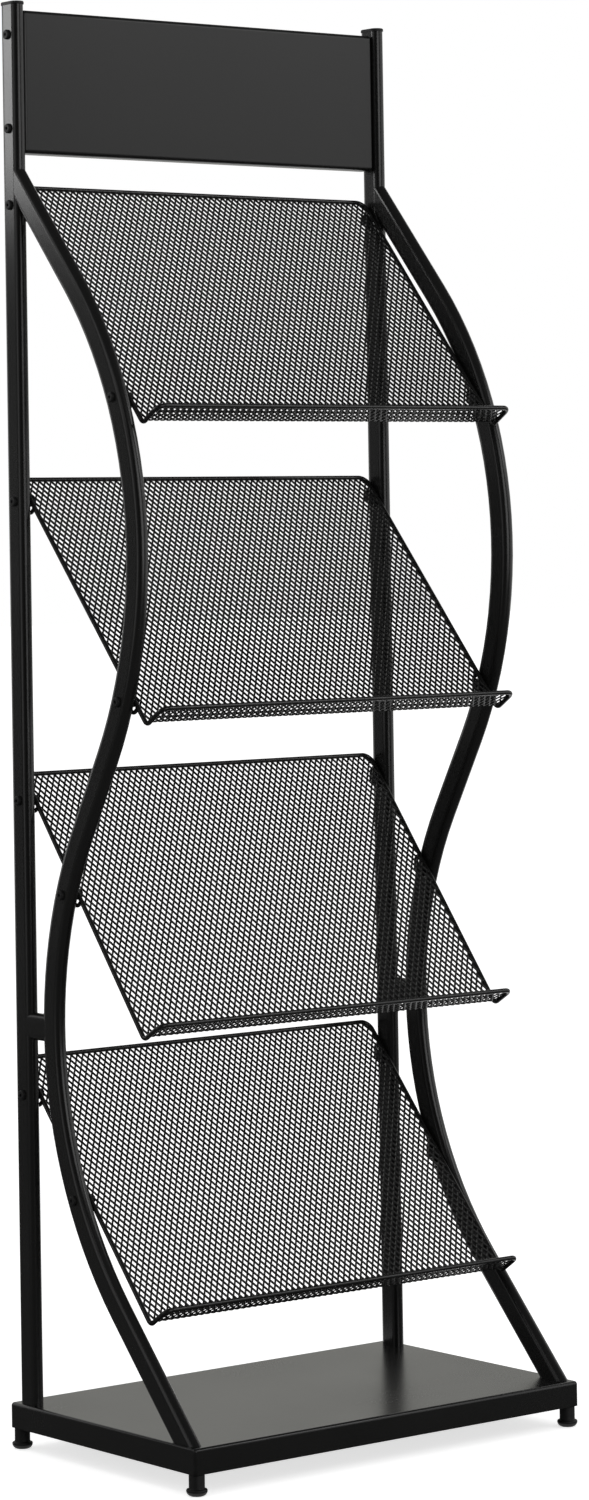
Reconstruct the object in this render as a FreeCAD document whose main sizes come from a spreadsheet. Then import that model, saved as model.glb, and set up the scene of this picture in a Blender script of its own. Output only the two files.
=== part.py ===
import FreeCAD, Part
import math
import os
import Sketcher
from FreeCAD import Placement, Rotation, Vector
from types import SimpleNamespace

# Floor magazine rack of black steel: two side frames of flat-oval tube (a straight rear post and a bent
# front tube), a folded sheet base on four levelling feet, a folded sign panel between the post tops and
# four sloping shelves of expanded metal welded to bent wire frames.
# X runs to the right, the front faces -Y, Z is up; the origin is on the floor, under the base's centre.

SIZES = (
    # base tray, folded from sheet, open below
    ("base_width", 472), ("base_depth", 290), ("base_height", 24), ("base_wall", 1.2), ("base_fold", 1.6),
    # levelling feet: a moulded pad on a threaded stem that turns in a nut welded to a corner gusset
    ("foot_inset", 8), ("pad_diameter", 20), ("pad_rim", 3.5), ("hub_diameter", 15.6),
    ("hub_top_diameter", 14.6), ("pad_height", 19.6), ("foot_clearance", 0.4), ("stem_diameter", 6),
    ("stem_socket", 13.6), ("stem_reach", 22.9),
    ("stem_clearance", 0.06), ("socket_gap", 0.3), ("gusset_side", 27), ("gusset_thickness", 2),
    ("weld_nut_diameter", 11), ("weld_nut_height", 6),
    # flat-oval tube of the side frames, flats to left and right
    ("tube_wide", 13), ("tube_deep", 26), ("tube_wall", 1.2), ("post_height", 1343), ("post_side_inset", 3.5),
    ("post_rear_inset", 10), ("cap_overhang", 0.8), ("cap_plate", 3), ("cap_round", 1.2), ("cap_plug", 12),
    ("plug_clearance", 0.1), ("weld_gap", 0.05),
    # bent front tube: corners of its centre line, ahead of or behind the post's axis, with the toe behind
    # the tray's front edge; drops below the post's top and bend radii are shares of the post's height
    ("head_drop_share", 0.122114669), ("bulge_drop_share", 0.35889799), ("bulge_reach", 271.4),
    ("bulge_radius_share", 0.291511541), ("waist_drop_share", 0.769545793), ("waist_setback", 41),
    ("waist_radius_share", 0.280416977), ("toe_inset", 24),
    # bolts that hold the tubes to the tray, with threaded plugs in the tube ends
    ("end_plug_length", 24), ("bolt_diameter", 6), ("bolt_clearance", 0.3), ("bolt_depth", 13),
    ("bolt_head_across", 10), ("bolt_head_height", 4), ("washer_diameter", 12), ("washer_thickness", 1.2),
    ("toe_bolt_setback", 5), ("thread_clearance", 0.02),
    # sign panel, a shallow folded box open at the back
    ("header_height", 138.5), ("header_drop", 5), ("header_depth", 16), ("header_wall", 1),
    ("header_fold", 2), ("header_gap", 0.2), ("header_screw_inset", 24),
    # places of the shelves: rear rail below the sign panel, as a share of the height from there to the tray,
    # its setback from the posts' axes, and slope in degrees
    ("shelf_1_drop_share", 0.026677782), ("shelf_1_setback", 8), ("shelf_1_slope", 50),
    ("shelf_2_drop_share", 0.26177574), ("shelf_2_setback", 11), ("shelf_2_slope", 49.5),
    ("shelf_3_drop_share", 0.498541059), ("shelf_3_setback", 12), ("shelf_3_slope", 52),
    ("shelf_4_drop_share", 0.72655273), ("shelf_4_setback", 21), ("shelf_4_slope", 49),
    # shelves: bent wire frame, expanded metal, wire loops for the screws; the lip turns up by an angle
    ("shelf_length", 304), ("lip_turn", 83), ("lip_length", 28.6), ("rail_diameter", 4.5), ("rail_gap", 0.25),
    ("rear_corner_radius", 10), ("lip_corner_radius", 8), ("fold_radius", 5), ("mesh_thickness", 1),
    ("mesh_lift", 0.6), ("mesh_border", 4), ("strand_width", 3), ("loop_wire", 4), ("loop_gap", 6),
    ("loop_length", 24),
    # machine screws and flange nuts of the shelves and the sign panel
    ("screw_diameter", 5), ("screw_clearance", 0.25), ("screw_head_diameter", 9.5),
    ("screw_head_height", 2.6), ("screw_head_round", 1.5), ("socket_across", 3), ("socket_depth", 1.4),
    ("nut_across", 8), ("nut_height", 4), ("flange_diameter", 11), ("flange_height", 1), ("screw_proud", 1),
    # how far every cutting shape runs past what it cuts
    ("overrun", 2),
)
SHELF_COUNT = 4
MESH_COLUMNS = 17
MESH_ROWS = 13
LIP_COLUMNS = 34
LIP_ROWS = 2
HEXAGON_SIDES = 6

# Places worked out from the sizes above, as formulas of a second sheet
PLACES = (
    ("tray_bottom", "=Rack.pad_height + Rack.foot_clearance"),
    ("tray_top", "=tray_bottom + Rack.base_height"),
    ("post_x", "=Rack.base_width / 2 - Rack.post_side_inset - Rack.tube_wide / 2"),
    ("post_y", "=Rack.base_depth / 2 - Rack.post_rear_inset - Rack.tube_deep / 2"),
    ("post_top", "=tray_top + Rack.post_height"),
    ("head_z", "=post_top - Rack.head_drop_share * Rack.post_height"),
    ("bulge_z", "=post_top - Rack.bulge_drop_share * Rack.post_height"),
    ("bulge_radius", "=Rack.bulge_radius_share * Rack.post_height"),
    ("waist_z", "=post_top - Rack.waist_drop_share * Rack.post_height"),
    ("waist_radius", "=Rack.waist_radius_share * Rack.post_height"),
    ("foot_x", "=Rack.base_width / 2 - Rack.foot_inset"),
    ("foot_y", "=Rack.base_depth / 2 - Rack.foot_inset"),
    ("toe_y", "=Rack.toe_inset - Rack.base_depth / 2"),
    ("toe_bolt_y", "=toe_y + Rack.toe_bolt_setback"),
    ("flat_x", "=post_x - Rack.tube_wide / 2"),
    ("rail_x", "=flat_x - Rack.rail_gap - Rack.rail_diameter / 2"),
    ("header_top", "=post_top - Rack.header_drop"),
    ("header_bottom", "=header_top - Rack.header_height"),
    ("shelf_zone", "=header_bottom - tray_top"),
    ("header_width", "=2 * (flat_x - Rack.header_gap)"),
    ("gusset_top", "=tray_bottom + Rack.gusset_thickness"),
)

doc = FreeCAD.newDocument("MagazineRack")


def make_sheet(name, cells):
    """A sheet with one named cell per row."""
    sheet = doc.addObject("Spreadsheet::Sheet", name)
    for row, (alias, content) in enumerate(cells, 1):
        sheet.set("A%d" % row, alias)
        sheet.set("B%d" % row, str(content))
        sheet.setAlias("B%d" % row, alias)
    doc.recompute()
    return SimpleNamespace(**{alias: float(sheet.get(alias)) for alias, content in cells})


rack = make_sheet("Rack", SIZES)
place = make_sheet("Place", PLACES)
SIDES = (("left", -1), ("right", 1))
ENDS = (("front", -1), ("rear", 1))
CORNERS = [("%s_%s" % (end, side), sx, sy) for end, sy in ENDS for side, sx in SIDES]
finished = []


def finish(item, label):
    """Keep an object as a sub-part of the rack under its own name."""
    item.Label = label
    finished.append(item)
    return item


def solid_part(shape, label, where=Placement()):
    """A sub-part whose shape is worked out here from the sheet's sizes."""
    item = doc.addObject("Part::Feature", label)
    item.Shape = shape
    item.Placement = where.multiply(shape.Placement)
    return finish(item, label)


def group_part(shapes, label):
    """Like pieces that share one node, each its own solid."""
    return solid_part(Part.makeCompound(shapes), label)


def new_body(name, x="0", y="0", z="0"):
    """A body whose place is given by three formulas."""
    body = doc.addObject("PartDesign::Body", name)
    for axis, formula in zip("xyz", (x, y, z)):
        body.setExpression("Placement.Base." + axis, formula)
    return body


def new_sketch(body, name, role="XY_Plane"):
    """A sketch on one of the body's own origin planes."""
    plane = [item for item in body.Origin.OriginFeatures if item.Role == role][0]
    sketch = body.newObject("Sketcher::SketchObject", name)
    sketch.AttachmentSupport = [(plane, "")]
    sketch.MapMode = "FlatFace"
    return sketch


def draw_rectangle(sketch, wide, deep):
    """A rectangle centred on the sketch's origin, its two sizes bound to formulas."""
    a, b = sketch.evalExpression(wide) / 2, sketch.evalExpression(deep) / 2
    corners = [Vector(-a, -b), Vector(a, -b), Vector(a, b), Vector(-a, b)]
    first = sketch.GeometryCount
    for start, end in zip(corners, corners[1:] + corners[:1]):
        sketch.addGeometry(Part.LineSegment(start, end), False)
    for k in range(4):
        sketch.addConstraint(Sketcher.Constraint("Coincident", first + k, 2, first + (k + 1) % 4, 1))
    for k in (0, 2):
        sketch.addConstraint(Sketcher.Constraint("Horizontal", first + k))
        sketch.addConstraint(Sketcher.Constraint("Vertical", first + k + 1))
    sketch.addConstraint(Sketcher.Constraint("Symmetric", first, 1, first + 2, 1, -1, 1))
    across = sketch.addConstraint(Sketcher.Constraint("DistanceX", first, 1, first, 2, 2 * a))
    along = sketch.addConstraint(Sketcher.Constraint("DistanceY", first + 1, 1, first + 1, 2, 2 * b))
    sketch.setExpression("Constraints[%d]" % across, wide)
    sketch.setExpression("Constraints[%d]" % along, deep)


def draw_oval(sketch, grow):
    """The tube's flat oval, grown by a formula all round: two straight flats joined by half circles."""
    radius = "Rack.tube_wide / 2 + (%s)" % grow
    flat = "Rack.tube_deep - Rack.tube_wide"
    r, half = sketch.evalExpression(radius), sketch.evalExpression(flat) / 2
    up = Vector(0, half)
    first = sketch.GeometryCount
    sketch.addGeometry(Part.LineSegment(Vector(r, -half), Vector(r, half)), False)
    sketch.addGeometry(Part.ArcOfCircle(Part.Circle(up, Vector(0, 0, 1), r), 0, math.pi), False)
    sketch.addGeometry(Part.LineSegment(Vector(-r, half), Vector(-r, -half)), False)
    sketch.addGeometry(Part.ArcOfCircle(Part.Circle(-up, Vector(0, 0, 1), r), math.pi, 2 * math.pi), False)
    for k in range(4):
        sketch.addConstraint(Sketcher.Constraint("Tangent", first + k, 2, first + (k + 1) % 4, 1))
    sketch.addConstraint(Sketcher.Constraint("Vertical", first))
    sketch.addConstraint(Sketcher.Constraint("Symmetric", first + 1, 3, first + 3, 3, -1, 1))
    across = sketch.addConstraint(Sketcher.Constraint("Radius", first + 1, r))
    along = sketch.addConstraint(Sketcher.Constraint("DistanceY", first + 3, 3, first + 1, 3, 2 * half))
    sketch.setExpression("Constraints[%d]" % across, radius)
    sketch.setExpression("Constraints[%d]" % along, flat)


def add_pad(body, sketch, length, reverse=False):
    """Raise a sketch by a length given as a formula."""
    pad = body.newObject("PartDesign::Pad", sketch.Name + "_pad")
    pad.Profile = sketch
    pad.setExpression("Length", length)
    pad.Reversed = reverse
    return pad


def add_pocket(body, sketch, depth, reverse=False):
    """Cut a sketch away to a depth given as a formula."""
    pocket = body.newObject("PartDesign::Pocket", sketch.Name + "_pocket")
    pocket.Profile = sketch
    pocket.setExpression("Length", depth)
    pocket.Reversed = reverse
    return pocket


def round_edges(body, feature, pick, radius):
    """Fillet the edges of a feature that a test picks."""
    doc.recompute()
    names = ["Edge%d" % (n + 1) for n, edge in enumerate(feature.Shape.Edges) if pick(edge)]
    fillet = body.newObject("PartDesign::Fillet", feature.Name + "_rounded")
    fillet.Base = (feature, names)
    fillet.setExpression("Radius", radius)
    return fillet


def post_x(sx):
    """Formula for the x of a side frame's middle plane."""
    return "%d * Place.post_x" % sx


def rod(start, direction, radius, length):
    """A plain round rod."""
    return Part.makeCylinder(radius, length, start, direction)


def hexagon(centre, direction, across, height):
    """A hexagonal prism, measured across its flats."""
    turn = 2 * math.pi / HEXAGON_SIDES
    corner = across / 2 / math.cos(turn / 2)
    ring = [Vector(corner * math.cos(turn * k), corner * math.sin(turn * k), 0) for k in range(HEXAGON_SIDES)]
    prism = Part.Face(Part.makePolygon(ring + ring[:1])).extrude(Vector(0, 0, height))
    prism.Placement = Placement(centre, Rotation(Vector(0, 0, 1), direction))
    return prism


# Base tray: top plate and four skirts folded from one sheet, with bolt holes under the four tubes
def base_tray():
    body = new_body("tray_body", z="Place.tray_bottom")
    block = new_sketch(body, "tray_outline")
    draw_rectangle(block, "Rack.base_width", "Rack.base_depth")
    pad = add_pad(body, block, "Rack.base_height")
    above = lambda edge: max(v.Z for v in edge.Vertexes) > rack.base_wall
    round_edges(body, pad, above, "Rack.base_fold")
    hollow = new_sketch(body, "tray_hollow")
    draw_rectangle(hollow, "Rack.base_width - 2 * Rack.base_wall", "Rack.base_depth - 2 * Rack.base_wall")
    add_pocket(body, hollow, "Rack.base_height - Rack.base_wall", reverse=True)
    drills = []
    for side, sx in SIDES:
        for end, y in (("rear", "Place.post_y"), ("front", "Place.toe_bolt_y")):
            drill = doc.addObject("Part::Cylinder", "tray_drill_%s_%s" % (end, side))
            drill.setExpression("Radius", "Rack.bolt_diameter / 2 + Rack.bolt_clearance")
            drill.setExpression("Height", "Rack.base_height + 2 * Rack.overrun")
            drill.setExpression("Placement.Base.x", post_x(sx))
            drill.setExpression("Placement.Base.y", y)
            drill.setExpression("Placement.Base.z", "Place.tray_bottom - Rack.overrun")
            drills.append(drill)
    holes = doc.addObject("Part::MultiFuse", "tray_drills")
    holes.Shapes = drills
    tray = doc.addObject("Part::Cut", "tray_drilled")
    tray.Base = body
    tray.Tool = holes
    return finish(tray, "base_tray")


def oval_wire(centre, direction, wide, deep):
    """A flat oval across a direction, its flats facing left and right."""
    r, half = wide / 2, (deep - wide) / 2
    edges = [
        Part.LineSegment(Vector(r, -half, 0), Vector(r, half, 0)).toShape(),
        Part.Arc(Vector(r, half, 0), Vector(0, half + r, 0), Vector(-r, half, 0)).toShape(),
        Part.LineSegment(Vector(-r, half, 0), Vector(-r, -half, 0)).toShape(),
        Part.Arc(Vector(-r, -half, 0), Vector(0, -half - r, 0), Vector(r, -half, 0)).toShape(),
    ]
    wire = Part.Wire(edges)
    wire.Placement = Placement(centre, Rotation(Vector(1, 0, 0), Vector(), direction, "ZXY"))
    return wire


def bent_path(points, radii):
    """Straight runs between points, joined by tangent arcs of the given radii."""
    edges = []
    start = points[0]
    for before, corner, after, radius in zip(points, points[1:], points[2:], radii):
        back = (before - corner).normalize()
        ahead = (after - corner).normalize()
        half = back.getAngle(ahead) / 2
        inward = (back + ahead).normalize()
        centre = corner + inward * (radius / math.sin(half))
        enter = corner + back * (radius / math.tan(half))
        leave = corner + ahead * (radius / math.tan(half))
        edges.append(Part.LineSegment(start, enter).toShape())
        edges.append(Part.Arc(enter, centre - inward * radius, leave).toShape())
        start = leave
    edges.append(Part.LineSegment(start, points[-1]).toShape())
    return Part.Wire(edges)


def swept(path, section):
    """A solid swept along a path."""
    shell = Part.BRepOffsetAPI.MakePipeShell(path)
    shell.add(section)
    shell.build()
    shell.makeSolid()
    return shell.shape()


def round_wire(path, diameter):
    """Round wire along a path."""
    first = path.Edges[0]
    direction = first.tangentAt(first.FirstParameter)
    circle = Part.makeCircle(diameter / 2, path.OrderedVertexes[0].Point, direction)
    return swept(path, Part.Wire([circle]))


def biggest(shape):
    """The largest solid of a shape, after a cut has left an offcut."""
    return max(shape.Solids, key=lambda solid: solid.Volume)


# Centre line of a front tube, from the post's axis down to the tray, and the oval sweeps along it
def front_line(x):
    head = Vector(x, place.post_y, place.head_z)
    bulge = Vector(x, place.post_y - rack.bulge_reach, place.bulge_z)
    waist = Vector(x, place.post_y + rack.waist_setback, place.waist_z)
    toe = Vector(x, place.toe_y, place.tray_top)
    end = toe + (toe - waist).normalize() * rack.tube_deep
    return bent_path([head, bulge, waist, end], (place.bulge_radius, place.waist_radius))


def front_sweep(x, grow):
    """The front tube's outside, grown or shrunk all round, before its ends are cut."""
    path = front_line(x)
    first = path.Edges[0]
    direction = first.tangentAt(first.FirstParameter)
    wide, deep = rack.tube_wide + 2 * grow, rack.tube_deep + 2 * grow
    return swept(path, oval_wire(path.OrderedVertexes[0].Point, direction, wide, deep))


def post_prism(x, grow):
    """The post's outside as a filled prism, grown all round."""
    foot = Vector(x, place.post_y, place.tray_top)
    section = oval_wire(foot, Vector(0, 0, 1), rack.tube_wide + 2 * grow, rack.tube_deep + 2 * grow)
    return Part.Face(section).extrude(Vector(0, 0, rack.post_height))


def below_tray():
    """A block that takes away whatever runs under the tray's top."""
    wide, deep = rack.base_width + 2 * rack.overrun, rack.base_depth + 2 * rack.overrun
    return Part.makeBox(wide, deep, place.tray_top, Vector(-wide / 2, -deep / 2, 0))


# A shelf lies flat in its own frame, rear rail on the X axis and fold towards -Y, and is then set in place
lip_turn = math.radians(rack.lip_turn)
UP_LIP = Vector(0, -math.cos(lip_turn), math.sin(lip_turn))
LIP_NORMAL = Vector(0, math.sin(lip_turn), math.cos(lip_turn))
FOLD = Vector(0, -rack.shelf_length, 0)
rail_radius = rack.rail_diameter / 2
slot_drop = rail_radius + rack.loop_gap / 2
loop_drop = rail_radius + rack.loop_gap + rack.loop_wire / 2


def shelf_place(n):
    """Where shelf n stands, counted down from 1."""
    words = ("drop_share", "setback", "slope")
    drop_share, setback, slope = (getattr(rack, "shelf_%d_%s" % (n, word)) for word in words)
    rear = Vector(0, place.post_y + setback, place.header_bottom - drop_share * place.shelf_zone)
    return Placement(rear, Rotation(Vector(1, 0, 0), slope))


def slot_point(n, along):
    """A point in the side view of the slot between rail and loops of shelf n, measured down the slope."""
    return shelf_place(n) * Vector(0, -along, -slot_drop)


def rear_screw(n):
    """Distance down the slope of the screw through the post, and its point in the side view."""
    start, ahead = slot_point(n, 0), slot_point(n, rack.tube_deep) - slot_point(n, 0)
    along = rack.tube_deep * (place.post_y - start.y) / ahead.y
    return along, slot_point(n, along)


def front_screw(n):
    """The same for the screw through the front tube, where the loops' slot crosses its centre line."""
    slot = Part.LineSegment(slot_point(n, rack.tube_deep), slot_point(n, rack.shelf_length)).toShape()
    distance, pairs, details = front_line(0).distToShape(slot)
    along = (pairs[0][1] - slot_point(n, 0)).Length
    return along, slot_point(n, along)


SHELVES = range(1, SHELF_COUNT + 1)
rear_points = [rear_screw(n)[1] for n in SHELVES]
front_points = [front_screw(n)[1] for n in SHELVES]
header_points = [
    Vector(0, place.post_y, place.header_top - rack.header_screw_inset),
    Vector(0, place.post_y, place.header_top - rack.header_height + rack.header_screw_inset),
]


def drills(points, x, name):
    """Screw holes along X through a tube, one at each point of the side view."""
    radius = rack.screw_diameter / 2 + rack.screw_clearance
    length = rack.tube_wide + 2 * rack.overrun
    cutters = [rod(Vector(x - length / 2, p.y, p.z), Vector(1, 0, 0), radius, length) for p in points]
    item = doc.addObject("Part::Feature", name)
    item.Shape = Part.makeCompound(cutters)
    return item


# Rear posts: straight flat-oval tube standing on the tray
def post(side, sx):
    body = new_body(side + "_post_body", post_x(sx), "Place.post_y", "Place.tray_top")
    section = new_sketch(body, side + "_post_section")
    draw_oval(section, "0 * Rack.tube_wall")
    draw_oval(section, "-Rack.tube_wall")
    add_pad(body, section, "Rack.post_height")
    drilled = doc.addObject("Part::Cut", side + "_post_drilled")
    drilled.Base = body
    drilled.Tool = drills(rear_points + header_points, sx * place.post_x, side + "_post_drills")
    return finish(drilled, side + "_post")


# Caps: a moulded plate with rounded edges on the post's top and a plug inside the tube
def post_cap(side, sx):
    body = new_body(side + "_cap_body", post_x(sx), "Place.post_y", "Place.post_top")
    plate = new_sketch(body, side + "_cap_plate")
    draw_oval(plate, "Rack.cap_overhang")
    plate_pad = add_pad(body, plate, "Rack.cap_plate")
    round_edges(body, plate_pad, lambda edge: min(v.Z for v in edge.Vertexes) > 0, "Rack.cap_round")
    plug = new_sketch(body, side + "_cap_plug")
    draw_oval(plug, "-Rack.tube_wall - Rack.plug_clearance")
    add_pad(body, plug, "Rack.cap_plug", reverse=True)
    return finish(body, side + "_post_cap")


# Front tubes: bent flat-oval tube, coped to the post at the top and cut flat on the tray
def front_tube(side, sx):
    x = sx * place.post_x
    tube = front_sweep(x, 0).cut(front_sweep(x, -rack.tube_wall))
    tube = tube.cut(post_prism(x, rack.weld_gap)).cut(below_tray())
    tube = biggest(tube).cut(drills(front_points, x, side + "_front_drills").Shape)
    return solid_part(biggest(tube), side + "_front_tube")


# Spacers: a short piece of the same tube between the post and the front tube's rearmost bend
def spacer(side, sx):
    x = sx * place.post_x
    bend = [edge for edge in front_line(x).Edges if edge.Curve.TypeId == "Part::GeomCircle"][1]
    height = bend.Curve.Center.z
    length = place.post_y - bend.Curve.Center.y - place.waist_radius
    start = Vector(x, place.post_y, height)
    outer = Part.Face(oval_wire(start, Vector(0, -1, 0), rack.tube_wide, rack.tube_deep))
    inner_wide, inner_deep = rack.tube_wide - 2 * rack.tube_wall, rack.tube_deep - 2 * rack.tube_wall
    inner = Part.Face(oval_wire(start, Vector(0, -1, 0), inner_wide, inner_deep))
    tube = outer.extrude(Vector(0, -length, 0)).cut(inner.extrude(Vector(0, -length, 0)))
    tube = tube.cut(post_prism(x, rack.weld_gap)).cut(front_sweep(x, rack.weld_gap))
    return solid_part(biggest(tube), side + "_spacer")


# Threaded plugs in the lower ends of the tubes, and the bolts and washers that hold them to the tray
def plug_bore(x, y):
    return rod(
        Vector(x, y, place.tray_top - rack.overrun),
        Vector(0, 0, 1),
        rack.bolt_diameter / 2 + rack.thread_clearance,
        rack.bolt_depth + 2 * rack.overrun,
    )


def post_plug(x):
    shrink = rack.tube_wall + rack.plug_clearance
    seat = Vector(x, place.post_y, place.tray_top)
    section = oval_wire(seat, Vector(0, 0, 1), rack.tube_wide - 2 * shrink, rack.tube_deep - 2 * shrink)
    block = Part.Face(section).extrude(Vector(0, 0, rack.end_plug_length))
    return biggest(block.cut(plug_bore(x, place.post_y)))


def toe_plug(x):
    filled = front_sweep(x, -rack.tube_wall - rack.plug_clearance)
    corner = Vector(x - rack.tube_wide, -rack.base_depth / 2, place.tray_top)
    slab = Part.makeBox(2 * rack.tube_wide, rack.base_depth, rack.end_plug_length, corner)
    return biggest(filled.common(slab).cut(plug_bore(x, place.toe_bolt_y)))


def tray_washer(x, y):
    seat = place.tray_top - rack.base_wall - rack.washer_thickness
    disc = rod(Vector(x, y, seat), Vector(0, 0, 1), rack.washer_diameter / 2, rack.washer_thickness)
    radius = rack.bolt_diameter / 2 + rack.bolt_clearance
    return disc.cut(rod(Vector(x, y, seat), Vector(0, 0, 1), radius, rack.washer_thickness))


def tray_bolt(x, y):
    seat = place.tray_top - rack.base_wall - rack.washer_thickness
    head = hexagon(Vector(x, y, seat), Vector(0, 0, -1), rack.bolt_head_across, rack.bolt_head_height)
    length = place.tray_top + rack.bolt_depth - seat
    shank = rod(Vector(x, y, seat), Vector(0, 0, 1), rack.bolt_diameter / 2, length)
    return head.fuse(shank).removeSplitter()


# Sign panel: front sheet with four returned edges, held by screws through the posts
def header_panel():
    body = new_body(
        "header_body", "0", "Place.post_y + Rack.header_depth / 2", "Place.header_top - Rack.header_height / 2"
    )
    outline = new_sketch(body, "header_outline", "XZ_Plane")
    draw_rectangle(outline, "Place.header_width", "Rack.header_height")
    pad = add_pad(body, outline, "Rack.header_depth")
    in_front = lambda edge: min(v.Y for v in edge.Vertexes) < -rack.header_wall
    round_edges(body, pad, in_front, "Rack.header_fold")
    hollow = new_sketch(body, "header_hollow", "XZ_Plane")
    wide, high = "Place.header_width - 2 * Rack.header_wall", "Rack.header_height - 2 * Rack.header_wall"
    draw_rectangle(hollow, wide, high)
    add_pocket(body, hollow, "Rack.header_depth - Rack.header_wall", reverse=True)
    holes = doc.addObject("Part::Compound", "header_drills")
    holes.Links = [drills(header_points, sx * place.flat_x, "header_drills_" + side) for side, sx in SIDES]
    panel = doc.addObject("Part::Cut", "header_drilled")
    panel.Base = body
    panel.Tool = holes
    return finish(panel, "header_panel")


# Machine screws from the outside of a tube and flange nuts on the inside
def screw(point, sx, grip):
    inward = Vector(-sx, 0, 0)
    seat = Vector(sx * (place.post_x + rack.tube_wide / 2), point.y, point.z)
    head = rod(seat, -inward, rack.screw_head_diameter / 2, rack.screw_head_height)
    middle = abs(seat.x) + rack.screw_head_height / 2
    rim = [edge for edge in head.Edges if edge.Closed and abs(edge.CenterOfMass.x) > middle]
    head = head.makeFillet(rack.screw_head_round, rim)
    recess = seat - inward * (rack.screw_head_height - rack.socket_depth)
    head = head.cut(hexagon(recess, -inward, rack.socket_across, rack.socket_depth + rack.overrun))
    length = rack.tube_wide + grip + rack.flange_height + rack.nut_height + rack.screw_proud
    return head.fuse(rod(seat, inward, rack.screw_diameter / 2, length)).removeSplitter()


def flange_nut(point, sx, seat_x):
    inward = Vector(-sx, 0, 0)
    seat = Vector(sx * seat_x, point.y, point.z)
    flange = rod(seat, inward, rack.flange_diameter / 2, rack.flange_height)
    nut = hexagon(seat + inward * rack.flange_height, inward, rack.nut_across, rack.nut_height)
    radius = rack.screw_diameter / 2 + rack.thread_clearance
    bore = rod(seat, inward, radius, rack.flange_height + rack.nut_height)
    return flange.fuse(nut).removeSplitter().cut(bore)


# Shelf frame: one closed loop of round wire, bent up at the fold into the lip
def shelf_frame():
    side = Vector(place.rail_x, 0, 0)
    lip = FOLD + UP_LIP * rack.lip_length
    path = bent_path(
        [Vector(), side, FOLD + side, lip + side, lip],
        (rack.rear_corner_radius, rack.fold_radius, rack.lip_corner_radius),
    )
    half = round_wire(path, rack.rail_diameter)
    whole = half.fuse(half.mirror(Vector(0, 0, 0), Vector(1, 0, 0))).removeSplitter()
    return biggest(whole)


def rounded_outline(half_wide, low, high, radius, round_high):
    """A panel's outline with its two outer corners rounded, at its high or its low end."""
    square, curved = (low, high) if round_high else (high, low)
    points = [Vector(0, square), Vector(half_wide, square), Vector(half_wide, curved), Vector(0, curved)]
    edges = [Part.LineSegment(points[0], points[1]).toShape()]
    edges += bent_path(points[1:], (radius,)).Edges
    mirrored = [edge.mirror(Vector(0, 0, 0), Vector(1, 0, 0)) for edge in edges]
    return Part.Wire(Part.__sortEdges__(edges + mirrored))


def diamond(x, y, half_wide, half_long):
    across, along = Vector(half_wide, 0), Vector(0, half_long)
    middle = Vector(x, y)
    return Part.makePolygon([middle - along, middle + across, middle + along, middle - across, middle - along])


def edge_diamond(x, y, half_wide, half_long):
    """The inner half of a diamond that is centred on a side edge, cut off at the border."""
    sign = math.copysign(1, x)
    edge = x - sign * rack.mesh_border
    half = half_long * (1 - rack.mesh_border / half_wide)
    ring = [Vector(edge, y - half), Vector(edge, y + half), Vector(x - sign * half_wide, y)]
    return Part.makePolygon(ring + ring[:1])


def diamond_net(half_wide, low, high, columns, rows, outline):
    """A flat face with staggered diamond openings left between strands."""
    pitch = 2 * half_wide / columns
    step = (high - low) / rows
    slant = (pitch / 2) * step / math.hypot(pitch / 2, step)
    open_share = 1 - rack.strand_width / (2 * slant)
    wide, long = open_share * pitch / 2, open_share * step
    holes = []
    for row in range(1, rows):
        shift = row % 2
        for column in range(columns + 1 - shift):
            x = (column + shift / 2 - columns / 2) * pitch
            cut = edge_diamond if shift == 0 and column in (0, columns) else diamond
            holes.append(cut(x, low + row * step, wide, long))
    return Part.makeFace([outline] + holes, "Part::FaceMakerBullseye")


# Expanded metal of a shelf: the sloping back and the lip, each a flat net inside the wire frame
mesh_edge = rail_radius + rack.weld_gap
mesh_half = place.rail_x - mesh_edge
fold_trim = (rack.mesh_lift + rack.mesh_thickness) * math.tan(lip_turn / 2)


def net_plate(face, origin, up, normal):
    """Thicken a flat net and set it in its plane of the shelf."""
    plate = face.extrude(Vector(0, 0, rack.mesh_thickness))
    plate.Placement = Placement(origin, Rotation(Vector(1, 0, 0), up, normal, "ZXY"))
    return plate


def shelf_mesh():
    low, high = fold_trim - rack.shelf_length, -mesh_edge
    outline = rounded_outline(mesh_half, low, high, rack.rear_corner_radius - mesh_edge, True)
    face = diamond_net(mesh_half, low, high, MESH_COLUMNS, MESH_ROWS, outline)
    return net_plate(face, Vector(0, 0, rack.mesh_lift), Vector(0, 1, 0), Vector(0, 0, 1))


def lip_mesh():
    low, high = mesh_edge - rack.lip_length, -fold_trim
    outline = rounded_outline(mesh_half, low, high, rack.lip_corner_radius - mesh_edge, False)
    face = diamond_net(mesh_half, low, high, LIP_COLUMNS, LIP_ROWS, outline)
    return net_plate(face, FOLD + LIP_NORMAL * rack.mesh_lift, UP_LIP * -1, LIP_NORMAL)


# Mounting loops: short bent wires welded under a side rail, each a slot for one screw
def loop(sx, start):
    near = Vector(sx * place.rail_x, -start, 0)
    far = near - Vector(0, rack.loop_length, 0)
    top, foot = Vector(0, 0, -rail_radius - rack.weld_gap), Vector(0, 0, -loop_drop)
    radius = (rack.loop_gap + rack.loop_wire) / 2
    path = bent_path([near + top, near + foot, far + foot, far + top], (radius, radius))
    return round_wire(path, rack.loop_wire)


def shelf_loops(n):
    """Loops of shelf n, one beside each post and each front tube, clear of the frame's rear corners."""
    middle = rack.loop_length / 2
    rear_start = max(rear_screw(n)[0] - middle, rack.rear_corner_radius + rack.loop_wire / 2)
    starts = (rear_start, front_screw(n)[0] - middle)
    return Part.makeCompound([loop(sx, start) for side, sx in SIDES for start in starts])


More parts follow.
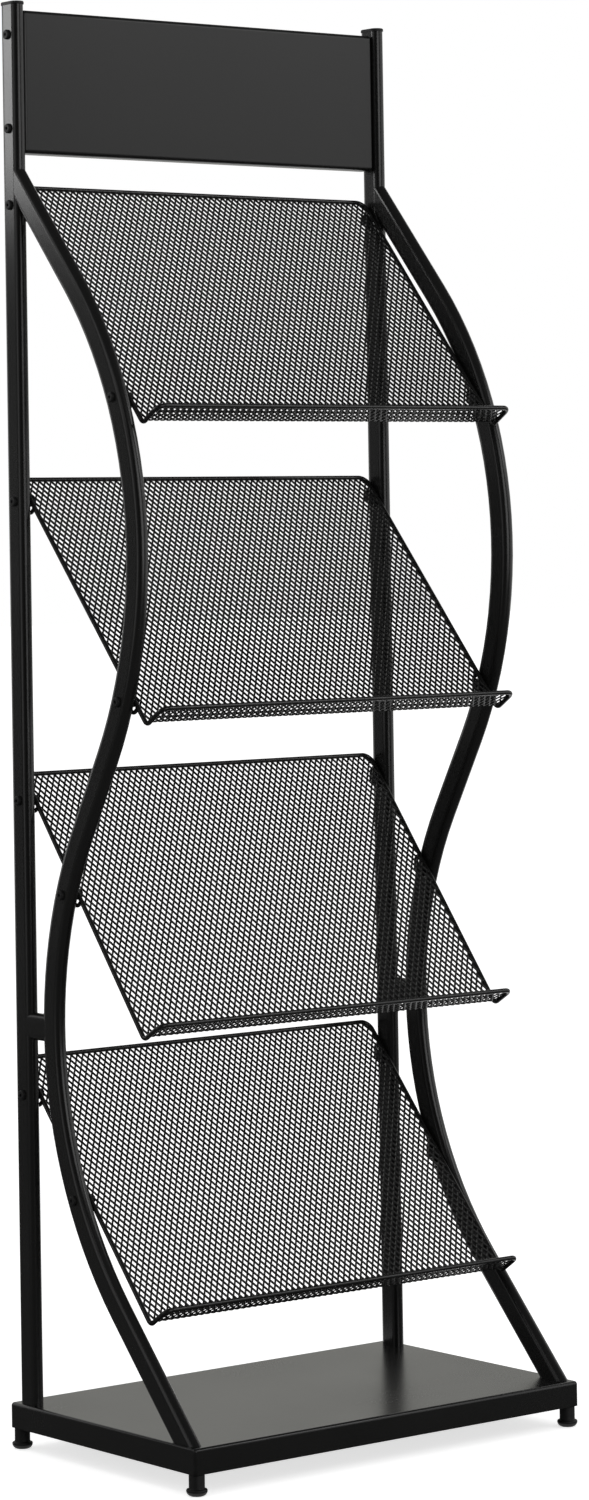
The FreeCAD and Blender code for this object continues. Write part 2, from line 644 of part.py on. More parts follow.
def shelf_fixings(n):
    """Screws and nuts of shelf n."""
    seat = place.rail_x - rail_radius - rack.weld_gap
    points = (rear_points[n - 1], front_points[n - 1])
    screws = [screw(p, sx, place.flat_x - seat) for side, sx in SIDES for p in points]
    group_part(screws, "shelf_%d_screws" % n)
    group_part([flange_nut(p, sx, seat) for side, sx in SIDES for p in points], "shelf_%d_nuts" % n)


# Levelling feet: corner gussets and weld nuts inside the tray, a threaded stem and a moulded pad below
def corner_gusset(sx, sy):
    reach_x = rack.base_width / 2 - rack.base_wall - rack.weld_gap
    reach_y = rack.base_depth / 2 - rack.base_wall - rack.weld_gap
    half = rack.gusset_side / 2
    corner = Vector(sx * (reach_x - half) - half, sy * (reach_y - half) - half, place.tray_bottom)
    plate = Part.makeBox(rack.gusset_side, rack.gusset_side, rack.gusset_thickness, corner)
    seat = Vector(sx * place.foot_x, sy * place.foot_y, place.tray_bottom)
    radius = rack.stem_diameter / 2 + rack.bolt_clearance
    return plate.cut(rod(seat, Vector(0, 0, 1), radius, rack.gusset_thickness))


def weld_nut(sx, sy):
    seat = Vector(sx * place.foot_x, sy * place.foot_y, place.gusset_top)
    boss = rod(seat, Vector(0, 0, 1), rack.weld_nut_diameter / 2, rack.weld_nut_height)
    radius = rack.stem_diameter / 2 + rack.stem_clearance
    return boss.cut(rod(seat, Vector(0, 0, 1), radius, rack.weld_nut_height))


def round_piece(kind, name, sx, sy, z, **sizes):
    """A cylinder or cone on a foot's axis, its sizes and place bound to formulas."""
    item = doc.addObject("Part::" + kind, name)
    sizes.update({"Placement.Base.x": "%d * Place.foot_x" % sx, "Placement.Base.y": "%d * Place.foot_y" % sy})
    sizes["Placement.Base.z"] = z
    for prop, formula in sizes.items():
        item.setExpression(prop, formula)
    return item


def foot(corner, sx, sy):
    rim = round_piece(
        "Cylinder", corner + "_rim", sx, sy, "0",
        Radius="Rack.pad_diameter / 2",
        Height="Rack.pad_rim",
    )
    hub = round_piece(
        "Cone", corner + "_hub", sx, sy, "Rack.pad_rim",
        Radius1="Rack.hub_diameter / 2",
        Radius2="Rack.hub_top_diameter / 2",
        Height="Rack.pad_height - Rack.pad_rim",
    )
    socket = round_piece(
        "Cylinder", corner + "_socket", sx, sy, "Rack.pad_height - Rack.stem_socket - Rack.socket_gap",
        Radius="Rack.stem_diameter / 2 + Rack.stem_clearance",
        Height="Rack.stem_socket + Rack.socket_gap + Rack.overrun",
    )
    moulding = doc.addObject("Part::Fuse", corner + "_moulding")
    moulding.Base, moulding.Tool = rim, hub
    pad = doc.addObject("Part::Cut", corner + "_pad")
    pad.Base, pad.Tool = moulding, socket
    finish(pad, "foot_pad_" + corner)
    stem = round_piece(
        "Cylinder", corner + "_stem", sx, sy, "Rack.pad_height - Rack.stem_socket",
        Radius="Rack.stem_diameter / 2",
        Height="Rack.stem_socket + Rack.stem_reach",
    )
    finish(stem, "foot_stem_" + corner)


base_tray()
for side, sx in SIDES:
    post(side, sx)
    post_cap(side, sx)
    front_tube(side, sx)
    spacer(side, sx)
frame_x = [sx * place.post_x for side, sx in SIDES]
group_part([post_plug(x) for x in frame_x], "post_plugs")
group_part([toe_plug(x) for x in frame_x], "front_tube_plugs")
bolt_points = [(x, y) for x in frame_x for y in (place.post_y, place.toe_bolt_y)]
group_part([tray_bolt(x, y) for x, y in bolt_points], "base_bolts")
group_part([tray_washer(x, y) for x, y in bolt_points], "base_washers")
header_panel()
header_grip = rack.header_gap + rack.header_wall
header_seat = place.flat_x - header_grip
group_part([screw(p, sx, header_grip) for side, sx in SIDES for p in header_points], "header_screws")
group_part([flange_nut(p, sx, header_seat) for side, sx in SIDES for p in header_points], "header_nuts")
shelf_shapes = (("frame", shelf_frame()), ("mesh", shelf_mesh()), ("lip_mesh", lip_mesh()))
for n in SHELVES:
    for kind, shape in shelf_shapes:
        solid_part(shape, "shelf_%d_%s" % (n, kind), shelf_place(n))
    solid_part(shelf_loops(n), "shelf_%d_loops" % n, shelf_place(n))
    shelf_fixings(n)
group_part([corner_gusset(sx, sy) for corner, sx, sy in CORNERS], "corner_gussets")
group_part([weld_nut(sx, sy) for corner, sx, sy in CORNERS], "foot_nuts")
for corner, sx, sy in CORNERS:
    foot(corner, sx, sy)

doc.recompute()
for item in doc.Objects:
    if "Invalid" in item.State or "Error" in item.State:
        raise RuntimeError("%s failed: %s" % (item.Name, item.State))
for item in finished:
    if item.Shape.isNull() or not item.Shape.isValid() or not item.Shape.Solids:
        raise RuntimeError("%s has no valid solid" % item.Label)
os.makedirs("parts", exist_ok=True)
for item in finished:
    item.Shape.exportStep("parts/%s.step" % item.Label)
print(len(finished), "sub-parts written")
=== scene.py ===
import math
import bmesh
import bpy
from mathutils import Matrix, Vector


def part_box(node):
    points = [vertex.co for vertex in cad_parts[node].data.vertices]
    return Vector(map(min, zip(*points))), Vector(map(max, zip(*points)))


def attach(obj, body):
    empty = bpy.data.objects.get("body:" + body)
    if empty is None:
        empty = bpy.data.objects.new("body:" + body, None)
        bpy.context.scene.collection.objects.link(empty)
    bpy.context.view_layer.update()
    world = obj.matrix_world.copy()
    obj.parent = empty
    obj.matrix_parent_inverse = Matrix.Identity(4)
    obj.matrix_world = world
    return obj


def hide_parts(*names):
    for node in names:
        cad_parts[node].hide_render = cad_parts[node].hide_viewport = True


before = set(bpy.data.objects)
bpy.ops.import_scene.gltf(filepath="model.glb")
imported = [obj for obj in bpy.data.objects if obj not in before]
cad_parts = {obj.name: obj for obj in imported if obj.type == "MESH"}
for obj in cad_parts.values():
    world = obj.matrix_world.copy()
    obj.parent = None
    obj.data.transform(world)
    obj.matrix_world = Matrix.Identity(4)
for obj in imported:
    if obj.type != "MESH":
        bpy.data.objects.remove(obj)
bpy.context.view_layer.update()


# Base tray: one steel sheet with four skirts folded down, in satin black powder coat.
# It stands on the feet and carries the four tubes, which are bolted through it from below.
MM = 0.001
tray_fold, tray_wall = 3.0 * MM, 1.2 * MM


class Field:
    """A socket of a node tree. Sums on it add Math nodes to the tree."""

    def __init__(self, tree, socket=None):
        self.tree, self.socket = tree, socket

    def node(self, kind, settings=None, values=None, out=0):
        """Any node: its settings are set first, then the values or links of its sockets."""
        made = self.tree.nodes.new(kind)
        for name, value in (settings or {}).items():
            setattr(made, name, value)
        for name, value in (values or {}).items():
            if isinstance(value, Field):
                self.tree.links.new(value.socket, made.inputs[name])
            else:
                made.inputs[name].default_value = value
        return Field(self.tree, made.outputs[out] if made.outputs else None)

    def maths(self, operation, *values):
        """A Math node on sockets and numbers."""
        return self.node("ShaderNodeMath", {"operation": operation}, dict(enumerate(values)))

    def __add__(self, other):
        return self.maths("ADD", self, other)

    def __sub__(self, other):
        return self.maths("SUBTRACT", self, other)

    def __rsub__(self, other):
        return self.maths("SUBTRACT", other, self)

    def __mul__(self, other):
        return self.maths("MULTIPLY", self, other)

    def __truediv__(self, other):
        return self.maths("DIVIDE", self, other)

    def __rtruediv__(self, other):
        return self.maths("DIVIDE", other, self)

    __radd__, __rmul__ = __add__, __mul__


def new_finish(name):
    """An empty material and the start of its node tree."""
    material = bpy.data.materials.new(name)
    material.use_nodes = True
    material.node_tree.nodes.clear()
    return material, Field(material.node_tree)


def coat(name, dark, pale, roughness, grain_size, grain_depth, **constants):
    """A baked, moulded or plated finish: cloudy tone, uneven gloss and a fine grain that bumps it."""
    clouds_per_metre, cloud_detail, grain_detail = 7.0, 3.0, 2.0
    cloud_share, gloss_spread, bump_strength = 0.6, 0.16, 0.6
    # The Mix node's colour sockets go by number, because its sockets for other values share their names.
    factor, first_colour, second_colour, mixed_colour = 0, 6, 7, 2
    material, recipe = new_finish(name)
    place = recipe.node("ShaderNodeTexCoord", out="Object")
    clouds = {"Vector": place, "Scale": clouds_per_metre, "Detail": cloud_detail}
    cloud = recipe.node("ShaderNodeTexNoise", {}, clouds)
    grains = {"Vector": place, "Scale": 1 / grain_size, "Detail": grain_detail}
    grain = recipe.node("ShaderNodeTexNoise", {}, grains)
    mask = cloud * cloud_share + grain * (1 - cloud_share)
    colours = {factor: mask, first_colour: (*dark, 1), second_colour: (*pale, 1)}
    tone = recipe.node("ShaderNodeMix", {"data_type": "RGBA"}, colours, out=mixed_colour)
    gloss = (mask - 0.5) * gloss_spread + roughness
    bumps = {"Strength": bump_strength, "Distance": grain_depth, "Height": grain}
    bump = recipe.node("ShaderNodeBump", {}, bumps)
    sockets = {"Base Color": tone, "Roughness": gloss, "Normal": bump}
    sockets.update({socket.replace("_", " "): value for socket, value in constants.items()})
    shader = recipe.node("ShaderNodeBsdfPrincipled", {}, sockets)
    recipe.node("ShaderNodeOutputMaterial", {}, {"Surface": shader})
    return material


def dress(material, *names):
    """Give CAD nodes a finish."""
    for name in names:
        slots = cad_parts[name].data.materials
        slots.clear()
        slots.append(material)


def link_piece(name, shell, material, body, slot, *nodes, smooth=True):
    """Turn a bmesh into a piece that stands for CAD nodes, rides on a body and takes a finish."""
    same_point, square_on = 0.001 * MM, 0.9999
    bmesh.ops.remove_doubles(shell, verts=shell.verts, dist=same_point)
    bmesh.ops.recalc_face_normals(shell, faces=shell.faces)
    mesh = bpy.data.meshes.new(name)
    shell.to_mesh(mesh)
    shell.free()
    mesh.materials.append(material)
    for face in mesh.polygons:
        face.use_smooth = smooth and max(map(abs, face.normal)) < square_on
    piece = bpy.data.objects.new(name, mesh)
    bpy.context.scene.collection.objects.link(piece)
    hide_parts(*nodes)
    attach(piece, body)
    return piece


def folded_shell(low, high, open_side, fold, wall):
    """A shallow box of sheet with round folds, open towards one side."""
    fold_steps, round_profile = 6, 0.5
    shell = bmesh.new()
    bmesh.ops.create_cube(shell, size=1)
    for vertex in shell.verts:
        vertex.co = [top if v > 0 else bottom for v, bottom, top in zip(vertex.co, low, high)]
    shell.normal_update()
    lid = [face for face in shell.faces if face.normal.dot(open_side) > 0.5]
    bmesh.ops.delete(shell, geom=lid, context="FACES_ONLY")
    folds = [edge for edge in shell.edges if not edge.is_boundary]
    bmesh.ops.bevel(
        shell, geom=folds, offset=fold, segments=fold_steps, profile=round_profile, affect="EDGES",
    )
    bmesh.ops.recalc_face_normals(shell, faces=shell.faces)
    bmesh.ops.solidify(shell, geom=shell.faces[:], thickness=wall)
    return shell


powder_coat = coat(
    "powder_coat", dark=(0.004, 0.004, 0.0038), pale=(0.0075, 0.0075, 0.007), roughness=0.25,
    grain_size=1.4 * MM, grain_depth=0.005 * MM, Specular_IOR_Level=0.4,
)
dress(powder_coat, "corner_gussets")
tray = folded_shell(*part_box("base_tray"), Vector((0, 0, -1)), tray_fold, tray_wall)
link_piece("folded_base_tray", tray, powder_coat, "rack", "powder_coat", "base_tray")

# Levelling feet: an injection-moulded pad with a neck, on a zinc-plated M6 stem.
# The stem turns in a nut welded to the gusset in the tray's corner.
# The zinc keeps its own metal colour, but its tone is set darker than bright plating as painted shade
# for the stems, nuts, plugs, bolts and washers that sit in the shade under the tray.
zinc_steel = coat(
    "zinc_steel", dark=(0.30, 0.30, 0.29), pale=(0.46, 0.46, 0.45), roughness=0.36,
    grain_size=0.8 * MM, grain_depth=0.006 * MM, Metallic=1.0,
)
black_plastic = coat(
    "black_plastic", dark=(0.005, 0.005, 0.005), pale=(0.009, 0.009, 0.009), roughness=0.54,
    grain_size=0.7 * MM, grain_depth=0.015 * MM, Specular_IOR_Level=0.28,
)
dress(zinc_steel, "foot_nuts")
pad_radius, neck_radius, bore_radius, bore_floor = 9.9 * MM, 7.4 * MM, 3.08 * MM, 6.2 * MM
sole_round, rim_round, root_round, neck_round = 5.0 * MM, 1.5 * MM, 1.0 * MM, 0.9 * MM
pad_sides, arc_steps = 40, 5
thread_pitch, thread_depth, stem_radius = 1.0 * MM, 0.32 * MM, 3.0 * MM
thread_sides, thread_steps, thread_runout = 20, 5, 1.2
stem_gap = 0.3 * MM


def arc(radius, height, bend, first, last):
    """Points of a round stretch of a half profile, from one angle to another."""
    angles = [math.radians(first + (last - first) * k / arc_steps) for k in range(arc_steps + 1)]
    return [(radius + bend * math.cos(a), height + bend * math.sin(a)) for a in angles]


def pad_profile(top):
    """Half profile of a pad: sole, rim, round root of the neck, neck and the bore for the stem."""
    rim_top = sole_round + rim_round
    return [
        (0, 0),
        *arc(pad_radius - sole_round, sole_round, sole_round, -90, 0),
        *arc(pad_radius - rim_round, sole_round, rim_round, 0, 90),
        *arc(neck_radius + root_round, rim_top + root_round, root_round, 270, 180),
        *arc(neck_radius - neck_round, top - neck_round, neck_round, 0, 90),
        (bore_radius, top),
        (bore_radius, bore_floor),
        (0, bore_floor),
    ]


def ring_point(axis, radius, turn, height):
    """A point at a radius, a share of a full turn and a height about an upright axis."""
    angle = 2 * math.pi * turn
    return axis + Vector((radius * math.cos(angle), radius * math.sin(angle), height))


def join_rings(shell, rings):
    """Faces between each ring of points and the next, three-cornered at a pole."""
    for low, high in zip(rings, rings[1:]):
        sides = len(low)
        for k in range(sides):
            n = (k + 1) % sides
            corners = dict.fromkeys((low[k], low[n], high[n], high[k]))
            shell.faces.new(list(corners))


def turned_pad(axis, profile):
    """A turned form about an upright axis, from its half profile."""
    shell = bmesh.new()
    rings = []
    for radius, height in profile:
        if radius == 0:
            pole = shell.verts.new(ring_point(axis, radius, 0, height))
            rings.append([pole] * pad_sides)
        else:
            points = [ring_point(axis, radius, k / pad_sides, height) for k in range(pad_sides)]
            rings.append([shell.verts.new(point) for point in points])
    join_rings(shell, rings)
    return shell


def threaded_rod(axis, length):
    """A rod with a cut thread: its radius follows the angle and the height as the thread winds up."""
    shell = bmesh.new()
    rows = round(length / thread_pitch * thread_steps)
    rings = []
    for row in range(rows + 1):
        height = length * row / rows
        full = min(1, height / thread_pitch, (length - height) / thread_pitch)
        ring = []
        for k in range(thread_sides):
            turn = k / thread_sides
            wound = (height / thread_pitch - turn) % 1
            cut = full * abs(2 * wound - 1) + thread_runout * (1 - full)
            radius = stem_radius - thread_depth * cut
            ring.append(shell.verts.new(ring_point(axis, radius, turn, height)))
        rings.append(ring)
    join_rings(shell, rings)
    shell.faces.new(rings[0])
    shell.faces.new(rings[-1])
    return shell


for end in ("front", "rear"):
    for side in ("left", "right"):
        corner = "%s_%s" % (end, side)
        body = corner + "_foot"
        low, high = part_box("foot_pad_" + corner)
        axis = Vector(((low.x + high.x) / 2, (low.y + high.y) / 2, low.z))
        pad = turned_pad(axis, pad_profile(high.z - low.z))
        link_piece(
            "levelling_pad_" + corner, pad, black_plastic, body, "black_plastic", "foot_pad_" + corner,
        )
        low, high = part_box("foot_stem_" + corner)
        axis.z = low.z + stem_gap
        stem = threaded_rod(axis, high.z - axis.z)
        link_piece(
            "threaded_stem_" + corner, stem, zinc_steel, body, "zinc_steel", "foot_stem_" + corner,
        )

# Side frames: a straight post, a bent front tube and a short spacer of flat-oval tube, welded together
# and powder coated as one piece. A moulded cap closes each post, and threaded plugs in the lower ends
# take the bolts from below.
for side in ("left", "right"):
    dress(powder_coat, side + "_post", side + "_front_tube", side + "_spacer")
    dress(black_plastic, side + "_post_cap")
dress(zinc_steel, "post_plugs", "front_tube_plugs", "base_bolts", "base_washers")

# Sign panel: a shallow box folded from thin sheet, held between the posts by black machine screws
# with black-passivated flange nuts behind.
panel_coat = coat(
    "panel_coat", dark=(0.0045, 0.0045, 0.0042), pale=(0.0085, 0.0085, 0.008), roughness=0.34,
    grain_size=1.4 * MM, grain_depth=0.005 * MM, Specular_IOR_Level=0.36,
)
black_screw = coat(
    "black_screw", dark=(0.006, 0.006, 0.006), pale=(0.012, 0.012, 0.012), roughness=0.56,
    grain_size=0.5 * MM, grain_depth=0.005 * MM, Specular_IOR_Level=0.22,
)
black_zinc = coat(
    "black_zinc", dark=(0.030, 0.030, 0.032), pale=(0.060, 0.060, 0.062), roughness=0.38,
    grain_size=0.6 * MM, grain_depth=0.005 * MM, Metallic=1.0,
)
panel_fold, panel_wall = 4.0 * MM, 1.0 * MM
panel = folded_shell(*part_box("header_panel"), Vector((0, 1, 0)), panel_fold, panel_wall)
link_piece("folded_sign_panel", panel, panel_coat, "rack", "panel_coat", "header_panel")
dress(black_screw, "header_screws")
dress(black_zinc, "header_nuts")

# Shelf frames: one closed loop of round steel wire, bent up at the front into a lip,
# with short wire loops welded under its side rails for the screws.
shelf_slopes = {1: 50.0, 2: 49.5, 3: 52.0, 4: 49.0}
for shelf in shelf_slopes:
    dress(powder_coat, "shelf_%d_frame" % shelf, "shelf_%d_loops" % shelf)
    dress(black_screw, "shelf_%d_screws" % shelf)
    dress(black_zinc, "shelf_%d_nuts" % shelf)

# Expanded metal of the shelves: thin sheet slit and drawn into staggered diamonds, folded up at the
# front as one piece with the lip, spot welded to the wire all round and coated with it.
expanded_metal = coat(
    "expanded_metal", dark=(0.0045, 0.0045, 0.0043), pale=(0.0085, 0.0085, 0.008), roughness=0.40,
    grain_size=0.9 * MM, grain_depth=0.008 * MM, Specular_IOR_Level=0.35,
)
rail_radius, fold_radius = 2.25 * MM, 5 * MM
shelf_length, lip_length, lip_turn = 304 * MM, 28.6 * MM, math.radians(83)
rear_corner, lip_corner = 10 * MM, 8 * MM
net_inset, net_lift = 0.5 * MM, 1.1 * MM
net_columns, net_rows = 61, 60
strand_width, strand_thickness, strand_tilt = 1.36 * MM, 1.3 * MM, -0.2 * MM
tile_seam = 0.02 * MM
rail_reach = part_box("shelf_1_frame")[1].x - rail_radius
fold_tangent = fold_radius * math.tan(lip_turn / 2)
net_fold_radius = fold_radius - net_lift
back_run = shelf_length - fold_tangent - net_inset
lip_run = lip_length - fold_tangent - net_inset
net_width = 2 * (rail_reach - net_inset)
net_length = back_run + net_fold_radius * lip_turn + lip_run


def bond_tile(across, along):
    """One bond of the expanded metal with its four half strands, open where the next tiles go on."""
    slant = Vector((across / 4, along / 2)).normalized()
    half = strand_width / 2
    out_x, out_y = half * slant.y, half * slant.x
    outline = {
        "n": (0, half / slant.x, 0),
        "s": (0, -half / slant.x, 0),
        "e": (half / slant.y, 0, -1),
        "w": (-half / slant.y, 0, 1),
    }
    for ns, sy in (("n", 1), ("s", -1)):
        for ew, sx in (("e", 1), ("w", -1)):
            x, y = sx * across / 4, sy * along / 2
            outline[ns + ew + "_side"] = (x + sx * out_x, y - sy * out_y, -sx)
            outline[ns + ew + "_notch"] = (x - sx * out_x, y + sy * out_y, sx)
    tile = bmesh.new()
    top, under = {}, {}
    for name, (x, y, lean) in outline.items():
        top[name] = tile.verts.new((x, y, lean * strand_tilt + strand_thickness / 2))
        under[name] = tile.verts.new((x, y, lean * strand_tilt - strand_thickness / 2))
    flats = [("e", "n", "w", "s")]
    walls = []
    for ns in "ns":
        for ew in "ew":
            side, notch = ns + ew + "_side", ns + ew + "_notch"
            flats.append((ew, side, notch, ns))
            walls += [(ew, side), (ns, notch)]
    for ring in flats:
        tile.faces.new([top[name] for name in ring])
        tile.faces.new([under[name] for name in reversed(ring)])
    for a, b in walls:
        tile.faces.new((top[a], top[b], under[b], under[a]))
    mesh = bpy.data.meshes.new("bond_tile")
    tile.to_mesh(mesh)
    tile.free()
    return mesh


def position_parts(tree):
    """The three coordinates of the points at hand."""
    position = tree.node("GeometryNodeInputPosition")
    return [tree.node("ShaderNodeSeparateXYZ", {}, {"Vector": position}, out=k) for k in range(3)]


net_sizes = {
    "Width": net_width, "Length": net_length, "Back run": back_run, "Fold radius": net_fold_radius,
    "Lip turn": lip_turn, "Rear corner": rear_corner - net_inset, "Lip corner": lip_corner - net_inset,
    "Columns": net_columns, "Rows": net_rows,
}
net_tree = bpy.data.node_groups.new("expanded_metal_net", "GeometryNodeTree")
net_tree.interface.new_socket("Geometry", in_out="OUTPUT", socket_type="NodeSocketGeometry")
identifiers = {}
for name, value in net_sizes.items():
    kind = "NodeSocketInt" if isinstance(value, int) else "NodeSocketFloat"
    socket = net_tree.interface.new_socket(name, in_out="INPUT", socket_type=kind)
    identifiers[name] = socket.identifier
given = net_tree.nodes.new("NodeGroupInput")
net = {name: Field(net_tree, given.outputs[name]) for name in net_sizes}
weave = Field(net_tree)

# A grid of bonds, every other row shifted by half a diamond, carries the tiles.
pitch, step = net["Width"] / net["Columns"], net["Length"] / net["Rows"]
grid = weave.node("GeometryNodeMeshGrid", {}, {
    "Size X": net["Width"] - pitch, "Size Y": net["Length"] - step,
    "Vertices X": net["Columns"], "Vertices Y": net["Rows"],
})
grid_y = position_parts(weave)[1]
row = weave.maths("FLOOR", grid_y / step + net["Rows"] * 0.5)
stagger = (weave.maths("MODULO", row, 2.0) - 0.5) * pitch * 0.5
shift = weave.node("ShaderNodeCombineXYZ", {}, {"X": stagger})
bonds = weave.node("GeometryNodeSetPosition", {}, {"Geometry": grid, "Offset": shift})
tile_mesh = bond_tile(net_width / net_columns, net_length / net_rows)
tile_object = bpy.data.objects.new("bond_tile", tile_mesh)
tile = weave.node("GeometryNodeObjectInfo", {}, {"Object": tile_object}, out="Geometry")
laid = weave.node("GeometryNodeInstanceOnPoints", {}, {"Points": bonds, "Instance": tile})
loose_net = weave.node("GeometryNodeRealizeInstances", {}, {"Geometry": laid})
seams = {"Geometry": loose_net, "Distance": tile_seam}
flat_net = weave.node("GeometryNodeMergeByDistance", {}, seams)

# The flat net is drawn in to the wire's round corners, then bent over the fold.
flat_x, flat_y, flat_z = position_parts(weave)
along = net["Length"] * 0.5 - flat_y
aside = weave.maths("ABSOLUTE", flat_x)
for corner, from_end, sense in (
    (net["Rear corner"], along, 1.0),
    (net["Lip corner"], net["Length"] - along, -1.0),
):
    over_x = weave.maths("MAXIMUM", aside - (net["Width"] * 0.5 - corner), 0.0)
    over_y = weave.maths("MAXIMUM", corner - from_end, 0.0)
    far = weave.maths("SQRT", over_x * over_x + over_y * over_y)
    cut = 1 - corner / weave.maths("MAXIMUM", far, corner)
    aside = aside - over_x * cut
    along = along + over_y * cut * sense
across = aside * weave.maths("SIGN", flat_x)
beyond = along - net["Back run"]
bend_length = net["Fold radius"] * net["Lip turn"]
turned = weave.maths("MAXIMUM", weave.maths("MINIMUM", beyond, bend_length), 0.0) / net["Fold radius"]
tail = weave.maths("MAXIMUM", beyond - bend_length, 0.0)
sine, cosine = weave.maths("SINE", turned), weave.maths("COSINE", turned)
reach = weave.maths("MINIMUM", along, net["Back run"]) + net["Fold radius"] * sine + tail * cosine
rise = net["Fold radius"] * (1 - cosine) + tail * sine
bent_place = {"X": across, "Y": flat_z * sine - reach, "Z": rise + flat_z * cosine}
bent = weave.node("ShaderNodeCombineXYZ", {}, bent_place)
folded = weave.node("GeometryNodeSetPosition", {}, {"Geometry": flat_net, "Position": bent})
coated = weave.node("GeometryNodeSetMaterial", {}, {"Geometry": folded, "Material": expanded_metal})
weave.node("NodeGroupOutput", {}, {"Geometry": coated})

carrier = bpy.data.objects.new("net_carrier", bpy.data.meshes.new("net_carrier"))
bpy.context.scene.collection.objects.link(carrier)
modifier = carrier.modifiers.new("net", "NODES")
modifier.node_group = net_tree
for name, value in net_sizes.items():
    modifier[identifiers[name]] = value
evaluated = carrier.evaluated_get(bpy.context.evaluated_depsgraph_get())
net_mesh = bpy.data.meshes.new_from_object(evaluated)
carrier.modifiers.remove(modifier)
bpy.data.objects.remove(carrier)
bpy.data.objects.remove(tile_object)
for shelf, slope in shelf_slopes.items():
    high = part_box("shelf_%d_frame" % shelf)[1]
    rear_rail = Vector((0, high.y - rail_radius, high.z - rail_radius))
    lift = Matrix.Translation((0, -net_inset, net_lift))
    shell = bmesh.new()
    shell.from_mesh(net_mesh)
    cut_ends = [edge for edge in shell.edges if edge.is_boundary]
    bmesh.ops.holes_fill(shell, edges=cut_ends, sides=4)
    shell.transform(Matrix.Translation(rear_rail) @ Matrix.Rotation(math.radians(slope), 4, "X") @ lift)
    link_piece(
        "shelf_%d_expanded_metal" % shelf, shell, expanded_metal, "rack", "expanded_metal",
        "shelf_%d_mesh" % shelf, "shelf_%d_lip_mesh" % shelf, smooth=False,
    )

# Studio: a pale floor that runs out to a white room, with soft boxes at the left rear and right front.
# Dark cards, which only reflections show, keep the black finish black on the camera's side, and light
# strips before them draw the thin bright lines along the tubes.
floor_reach, floor_tone, floor_lift = 30, 0.82, 0.7
room_light, room_lift = 0.6, 0.4
white = (1, 1, 1, 1)
square = ((-1, -1), (1, -1), (1, 1), (-1, 1))
floor_corners = [(sx * floor_reach, sy * floor_reach, 0) for sx, sy in square]
floor_mesh = bpy.data.meshes.new("floor")
floor_mesh.from_pydata(floor_corners, [], [(0, 1, 2, 3)])
floor = bpy.data.objects.new("floor", floor_mesh)
bpy.context.scene.collection.objects.link(floor)


def background_rays(recipe):
    """1 where the camera sees the background itself, in a reflection or through something, else 0."""
    names = ("Is Camera Ray", "Is Glossy Ray", "Is Transmission Ray")
    seen, mirrored, through = (recipe.node("ShaderNodeLightPath", out=name) for name in names)
    return recipe.maths("MAXIMUM", recipe.maths("MAXIMUM", seen, mirrored), through)


floor_paint, recipe = new_finish("floor_paint")
matt = recipe.node("ShaderNodeBsdfDiffuse", {}, {"Color": (floor_tone, floor_tone, floor_tone, 1)})
strength = background_rays(recipe) * floor_lift
lit = recipe.node("ShaderNodeEmission", {}, {"Color": white, "Strength": strength})
both = recipe.node("ShaderNodeAddShader", {}, {0: matt, 1: lit})
recipe.node("ShaderNodeOutputMaterial", {}, {"Surface": both})
floor_mesh.materials.append(floor_paint)

world = bpy.data.worlds.new("white_room")
bpy.context.scene.world = world
world.use_nodes = True
world.node_tree.nodes.clear()
recipe = Field(world.node_tree)
strength = background_rays(recipe) * room_lift + room_light
room = recipe.node("ShaderNodeBackground", {}, {"Color": white, "Strength": strength})
recipe.node("ShaderNodeOutputWorld", {}, {"Surface": room})

# Each soft box has a place and a point that it faces, in metres, its width and height, and its power.
for name, place, aim, (wide, tall), power in (
    ("left_softbox", Vector((-0.74, 0.80, 1.50)), Vector((-0.23, 0.12, 1.32)), (0.24, 0.46), 2.3),
    ("front_softbox", Vector((2.2, -2.6, 2.6)), Vector((0, 0, 1.0)), (1.2, 1.2), 14),
):
    lamp = bpy.data.lights.new(name, "AREA")
    lamp.shape = "RECTANGLE"
    lamp.size, lamp.size_y, lamp.energy = wide, tall, power
    box = bpy.data.objects.new(name, lamp)
    box.location = place
    box.rotation_euler = (aim - place).to_track_quat("-Z", "Y").to_euler()
    box.visible_camera = False
    bpy.context.scene.collection.objects.link(box)


def reflected_card(name, bearings, radii, heights, glow, tint):
    """A card along a circle about the rack, dark or light, which shows only in reflections."""
    spans = 24
    first, last = bearings
    points = []
    for k in range(spans + 1):
        bearing = math.radians(first + (last - first) * k / spans)
        out = Vector((-math.sin(bearing), -math.cos(bearing), 0))
        points += [out * radius + Vector((0, 0, height)) for radius, height in zip(radii, heights)]
    faces = [(2 * k, 2 * k + 2, 2 * k + 3, 2 * k + 1) for k in range(spans)]
    mesh = bpy.data.meshes.new(name)
    mesh.from_pydata(points, [], faces)
    paint, recipe = new_finish(name)
    shade = recipe.node("ShaderNodeEmission", {}, {"Color": tint, "Strength": glow})
    recipe.node("ShaderNodeOutputMaterial", {}, {"Surface": shade})
    mesh.materials.append(paint)
    card = bpy.data.objects.new(name, mesh)
    card.visible_camera = card.visible_diffuse = card.visible_shadow = card.visible_transmission = False
    bpy.context.scene.collection.objects.link(card)


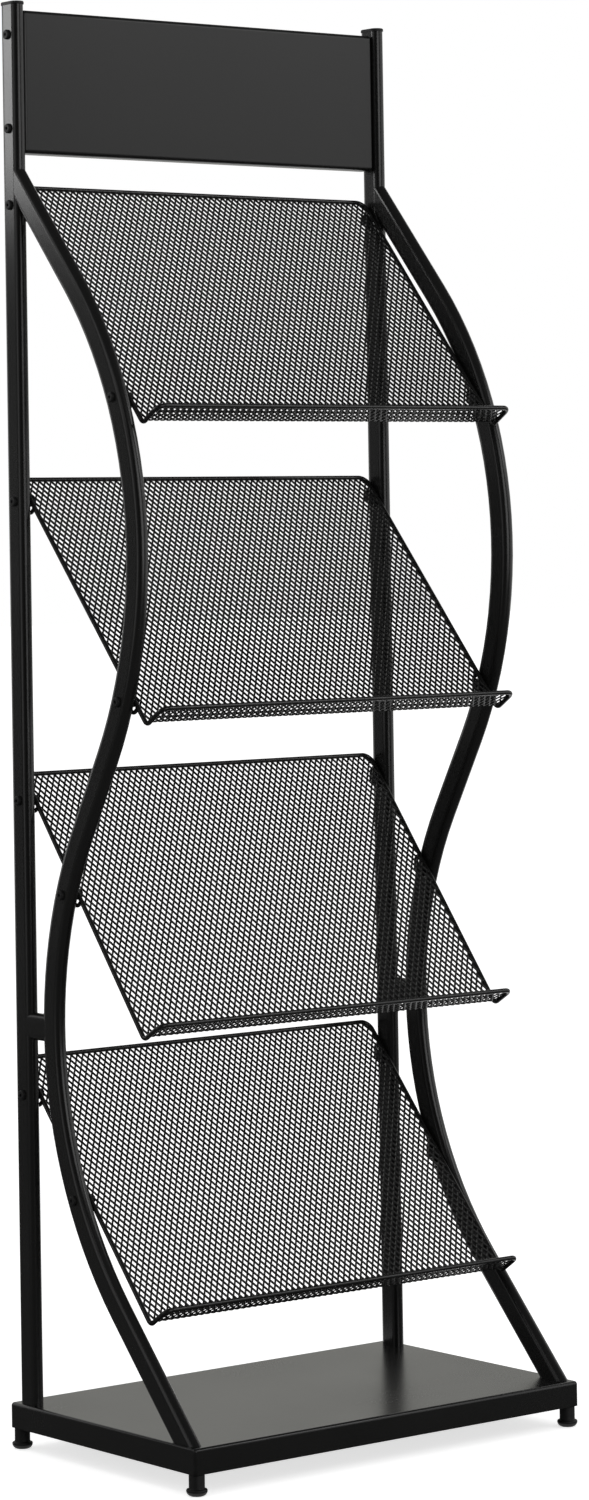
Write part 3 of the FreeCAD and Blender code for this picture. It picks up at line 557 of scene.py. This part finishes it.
# Each card has its first and last bearing, in degrees from the front round by the left, the radius and
# height of its two edges, in metres, its glow and its colour.
wall_radii, strip_radii = (4.6, 4.6), (4.5, 4.5)
floor_radii, ceiling_radii = (0.01, 4.6), (0.01, 5.0)
warm_white = (1, 1, 0.94, 1)
reflected_card("left_card", (62, 152), wall_radii, (0.0, 2.6), 0.10, white)
reflected_card("camera_card", (-30, 62), wall_radii, (0.0, 3.4), 0.02, white)
reflected_card("rear_card", (176, 262), wall_radii, (0.0, 2.4), 0.58, warm_white)
reflected_card("floor_card", (-95, 192), floor_radii, (0.004, 0.004), 0.11, white)
reflected_card("front_strip", (-10, 22), strip_radii, (0.35, 3.2), 2.4, white)
reflected_card("left_strip", (88, 114), strip_radii, (0.0, 2.6), 0.9, white)
reflected_card("ceiling_card", (0, 360), ceiling_radii, (4.2, 3.6), 0.12, white)

# Camera: it stands where the photograph was taken from, about four metres away, to the left of the front
# and 0.9 m up, with a long lens. The middle point, in pixels of the frame, is where the lens points, and
# the shift brings it there.
frame_width, frame_height, focal_pixels = 589, 1500, 4318.8
middle_x, middle_y = 200, 451.5
stand = Vector((-2.6288, -3.2692, 0.8782))
yaw, tilt, roll = math.radians(37.722), math.radians(1.045), math.radians(-0.884)
ahead = Vector((math.sin(yaw) * math.cos(tilt), math.cos(yaw) * math.cos(tilt), math.sin(tilt)))
right = Vector((math.cos(yaw), -math.sin(yaw), 0))
up = right.cross(ahead)
lens = bpy.data.cameras.new("camera")
lens.sensor_fit, lens.sensor_width = "AUTO", 36
lens.lens = focal_pixels / frame_height * lens.sensor_width
lens.shift_x = (frame_width / 2 - middle_x) / frame_height
lens.shift_y = (middle_y - frame_height / 2) / frame_height
lens.clip_start, lens.clip_end = 0.01, 200
camera = bpy.data.objects.new("camera", lens)
rolled_right = right * math.cos(roll) + up * math.sin(roll)
rolled_up = up * math.cos(roll) - right * math.sin(roll)
axes = Matrix((rolled_right, rolled_up, -ahead)).transposed().to_4x4()
camera.matrix_world = Matrix.Translation(stand) @ axes
bpy.context.scene.collection.objects.link(camera)
bpy.context.scene.camera = camera
bpy.context.scene.view_settings.view_transform = "Standard"
